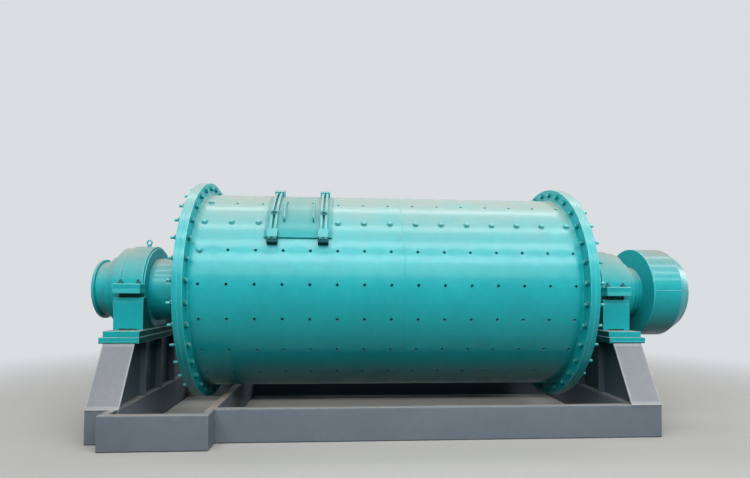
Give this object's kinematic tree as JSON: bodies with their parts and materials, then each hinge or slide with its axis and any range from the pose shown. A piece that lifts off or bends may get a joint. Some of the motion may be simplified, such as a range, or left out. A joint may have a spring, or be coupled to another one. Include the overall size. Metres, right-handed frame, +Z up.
{
  "type": "ball mill",
  "caption": "Horizontal grinding drum with bolted ends, turning on hollow trunnions in split bearings over A-shaped stands and a beam frame, with a feeder drum at one end.",
  "frame": {"origin": "on the floor, under the middle of the outline seen from above", "axes": "+X along the mill axis towards the feeder drum, -Y towards the side with the outrigger, +Z up"},
  "size_m": [6.646, 2.5299, 2.6468],
  "materials": {
    "teal_paint": "satin teal enamel",
    "leg_paint": "satin light grey enamel",
    "dark_grey_paint": "satin dark grey enamel",
    "base_paint": "satin blue-grey enamel"
  },
  "bodies": {
    "base": {"front_long_beam": "base_paint", "rear_long_beam": "base_paint", "left_end_beam": "base_paint", "right_end_beam": "base_paint", "cross_beam": "base_paint", "outrigger_front_beam": "base_paint", "outrigger_left_beam": "base_paint", "outrigger_right_beam": "base_paint", "left_front_leg": "leg_paint", "left_rear_leg": "leg_paint", "right_front_leg": "leg_paint", "right_rear_leg": "leg_paint", "left_stand_webs": "dark_grey_paint", "right_stand_webs": "dark_grey_paint", "left_stand_ribs": "dark_grey_paint", "right_stand_ribs": "dark_grey_paint", "left_lower_sole": "teal_paint", "left_upper_sole": "teal_paint", "right_lower_sole": "teal_paint", "right_upper_sole": "teal_paint", "left_lower_housing": "teal_paint", "right_lower_housing": "teal_paint", "left_bearing_cap": "teal_paint", "right_bearing_cap": "teal_paint", "left_seal_covers": "teal_paint", "right_seal_covers": "teal_paint", "left_cap_bolts": "teal_paint", "right_cap_bolts": "teal_paint", "left_lifting_eye": "teal_paint", "right_lifting_eye": "teal_paint"},
    "mill": {"drum_shell": "teal_paint", "left_shell_flange": "teal_paint", "right_shell_flange": "teal_paint", "left_end_head": "teal_paint", "right_end_head": "teal_paint", "left_trunnion": "teal_paint", "right_trunnion": "teal_paint", "left_joint_bolts": "teal_paint", "right_joint_bolts": "teal_paint", "liner_nuts": "teal_paint", "manhole_cover": "teal_paint", "manhole_clamps": "teal_paint", "clamp_nuts": "teal_paint", "manhole_handles": "teal_paint", "discharge_sleeve": "teal_paint", "discharge_ring": "teal_paint", "feed_sleeve": "teal_paint", "feeder_back_plate": "teal_paint", "feeder_drum": "teal_paint", "feeder_tapered_end": "teal_paint"}
  },
  "joints": [
    {"name": "mill_spin", "type": "hinge", "parent": "base", "child": "mill", "pos_m": [-0.223, 0.06, 1.442], "axis": [1, 0, 0], "continuous": true}
  ]
}
